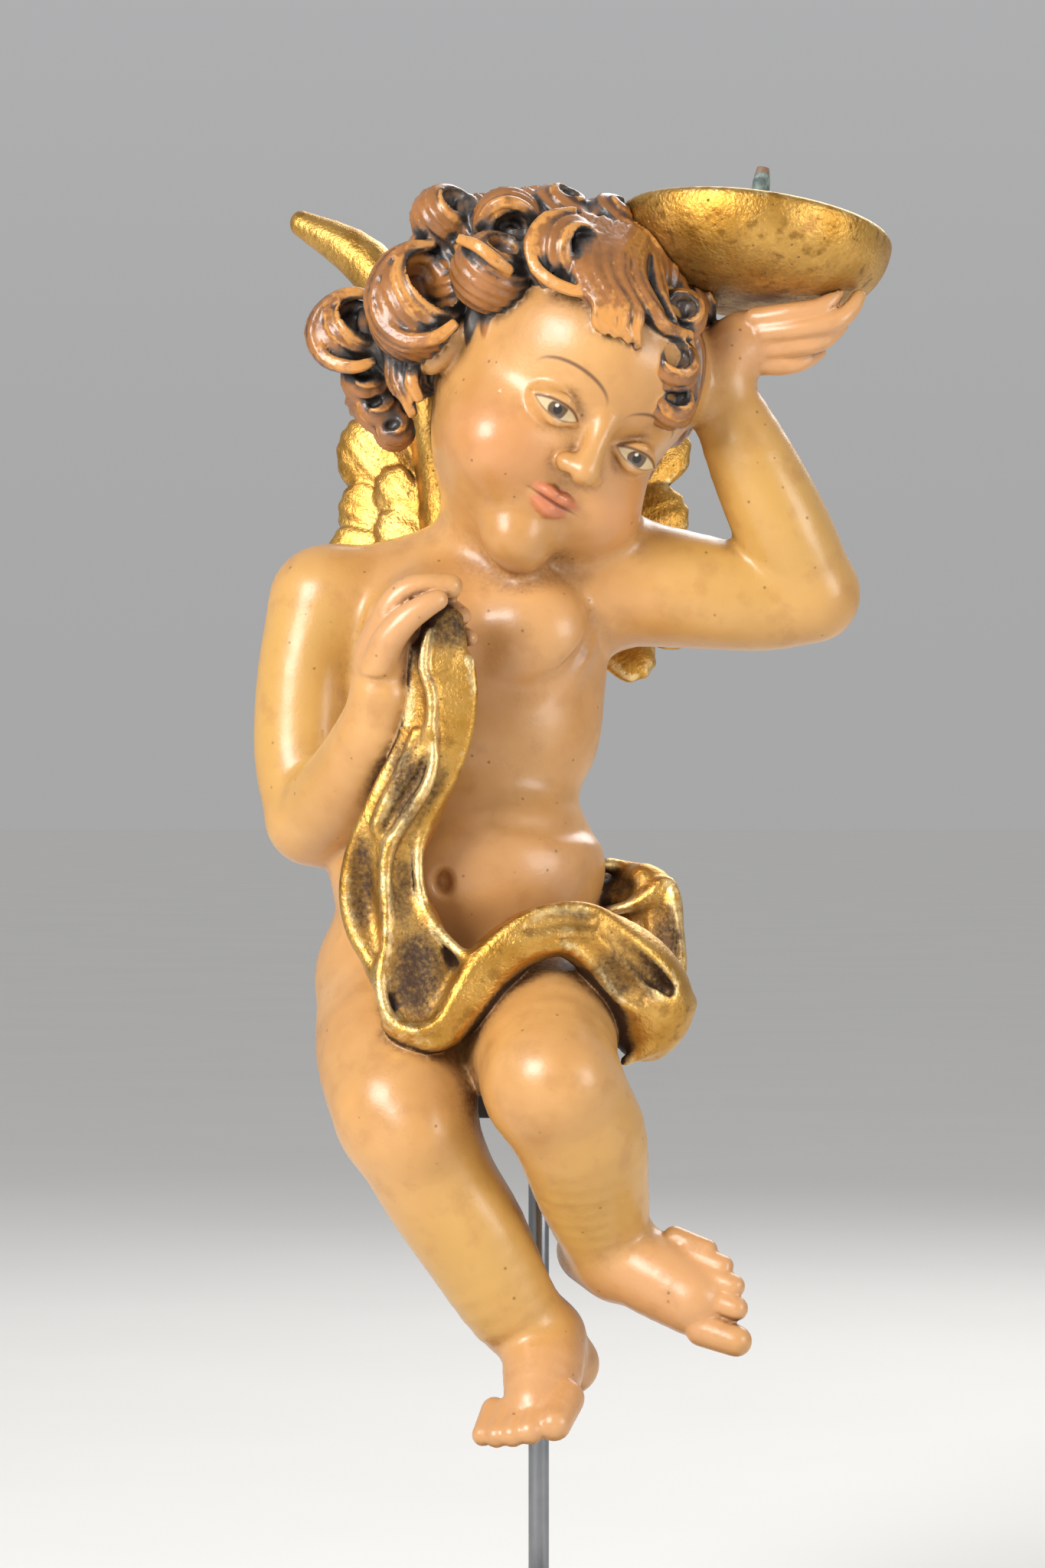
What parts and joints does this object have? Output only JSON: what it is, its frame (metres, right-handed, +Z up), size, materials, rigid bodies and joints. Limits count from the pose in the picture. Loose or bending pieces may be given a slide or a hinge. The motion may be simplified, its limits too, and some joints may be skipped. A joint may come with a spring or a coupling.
{
  "type": "angel statue",
  "caption": "Carved, painted and gilded wooden cherub seated on a steel display stand, one arm raised to carry a candle dish with a spike, a gilded sash across the lap and small wings.",
  "frame": {"origin": "centre of the foot plate's underside", "axes": "+Z up along the rod, the cherub looks along -Y, +X is the cherub's left"},
  "size_m": [0.183, 0.1743, 0.4363],
  "materials": {
    "painted_wood": "ochre flesh paint under satin varnish, brown stained hair, gold leaf on the sash",
    "gilded_wood": "aged gold leaf with brown patina in the hollows",
    "weathered_iron": "grey-green weathered, rusty at the point",
    "black_metal": "satin black paint",
    "bright_steel": "bright drawn steel"
  },
  "bodies": {
    "root": {"cherub_figure": "painted_wood", "right_wing": "gilded_wood", "left_wing": "gilded_wood", "candle_dish": "gilded_wood", "candle_pricket": "weathered_iron", "stand_foot": "black_metal", "stand_rod": "bright_steel", "stand_saddle": "black_metal"}
  },
  "joints": []
}
